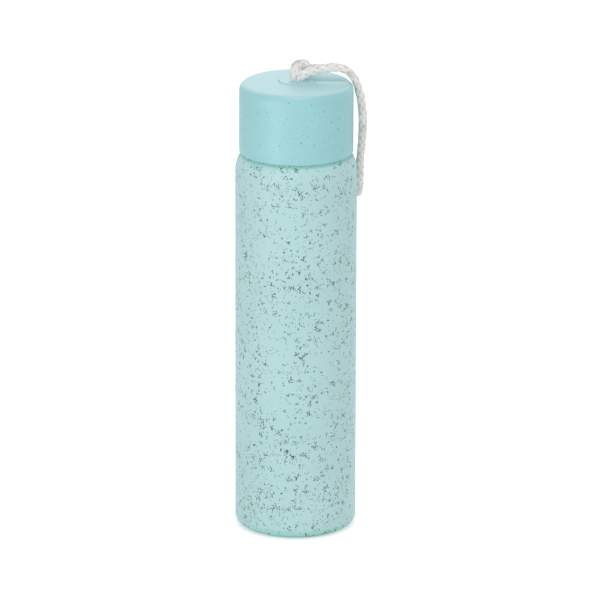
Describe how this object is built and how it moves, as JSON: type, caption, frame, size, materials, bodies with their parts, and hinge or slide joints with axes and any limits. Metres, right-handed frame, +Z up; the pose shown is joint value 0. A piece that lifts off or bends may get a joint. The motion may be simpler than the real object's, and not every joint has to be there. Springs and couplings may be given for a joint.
{
  "type": "glass drinking bottle",
  "caption": "Slim coated glass bottle with a threaded neck, screw lid with inner cup and seal, and a cotton carrying loop.",
  "frame": {"origin": "centre of the base, on the surface that the bottle stands on", "axes": "+Z up along the bottle's axis, +X towards the side where the cord loop hangs, -Y towards the viewer"},
  "size_m": [0.0679, 0.063, 0.2493],
  "materials": {
    "coated_glass": "glass with an opaque matte pale aqua coating outside, finely speckled",
    "lid_plastic": "satin moulded plastic with a few fine flecks",
    "inner_plastic": "satin moulded food-grade plastic",
    "silicone": "matte translucent silicone",
    "cotton": "braided undyed cotton"
  },
  "bodies": {
    "bottle": {"bottle_glass": "coated_glass"},
    "seal": {"seal_ring": "silicone"},
    "cord": {"cord_disc": "lid_plastic", "cord_knot": "cotton", "cord_loop": "cotton"},
    "lid": {"lid_shell": "lid_plastic", "lid_inner_cup": "inner_plastic"}
  },
  "joints": [
    {"name": "lid_lift_off", "type": "slide", "parent": "bottle", "child": "seal", "axis": [0, 0, 1], "range_m": [0, 0.08]},
    {"name": "lid_rise", "type": "slide", "parent": "seal", "child": "cord", "axis": [0, 0, 1], "range_m": [0, 0.0057]},
    {"name": "lid_turn", "type": "hinge", "parent": "cord", "child": "lid", "pos_m": [0, 0, 0.22], "axis": [0, 0, 1], "range_deg": [0, 450]}
  ],
  "couplings": [
    {"joint": "lid_rise", "follows": "lid_turn", "m_per_rad": 0.0007162}
  ]
}
